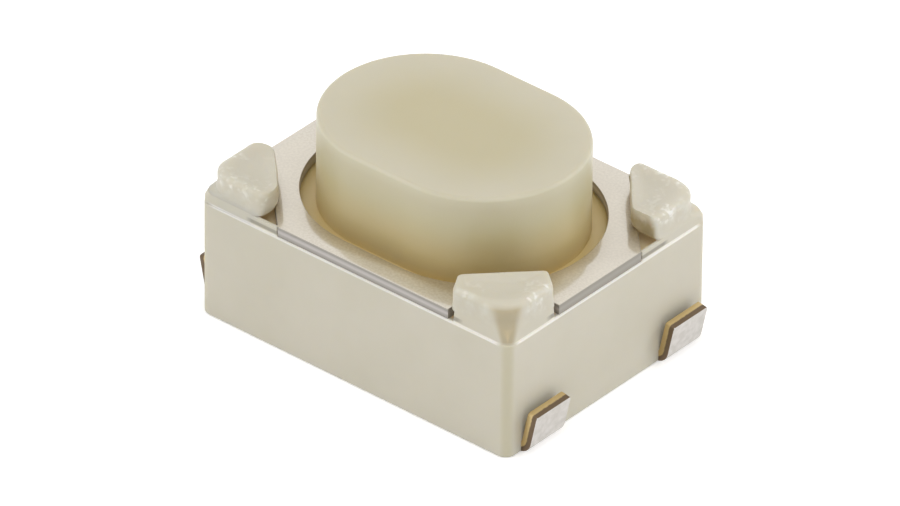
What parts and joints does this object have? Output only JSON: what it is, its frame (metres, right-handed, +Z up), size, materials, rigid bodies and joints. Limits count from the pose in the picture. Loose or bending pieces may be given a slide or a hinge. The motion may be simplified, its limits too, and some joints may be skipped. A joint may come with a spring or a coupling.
{
  "type": "tactile push button switch",
  "caption": "Low rectangular surface-mount switch: moulded housing, flat metal cover held by melted corner posts, tall stadium-shaped button with short travel, bent end terminals.",
  "frame": {"origin": "centre of the underside, on the seating plane", "axes": "+X along the long side, from one pair of terminals to the other, +Y across it, +Z up along the button's travel"},
  "size_m": [0.0046, 0.0032, 0.0024],
  "materials": {
    "housing_resin": "fine satin, slightly translucent cream moulding",
    "stainless_cover": "satin stainless sheet with bright cut edges",
    "button_resin": "smooth satin, translucent cream moulding",
    "silver_plated_brass": "dull silver plating with bare brass on the cut edges",
    "spring_steel": "bright rolled spring sheet"
  },
  "bodies": {
    "base": {"housing": "housing_resin", "cover": "stainless_cover", "common_contact_frame": "silver_plated_brass", "centre_contact_frame": "silver_plated_brass", "snap_dome": "spring_steel"},
    "button": {"stem": "button_resin"}
  },
  "joints": [
    {"name": "button_press", "type": "slide", "parent": "base", "child": "button", "axis": [0, 0, 1], "range_m": [-0.00025, 0], "stiffness_N_per_m": 4000, "springref_m": 0.00015, "deforming": ["snap_dome"]}
  ]
}
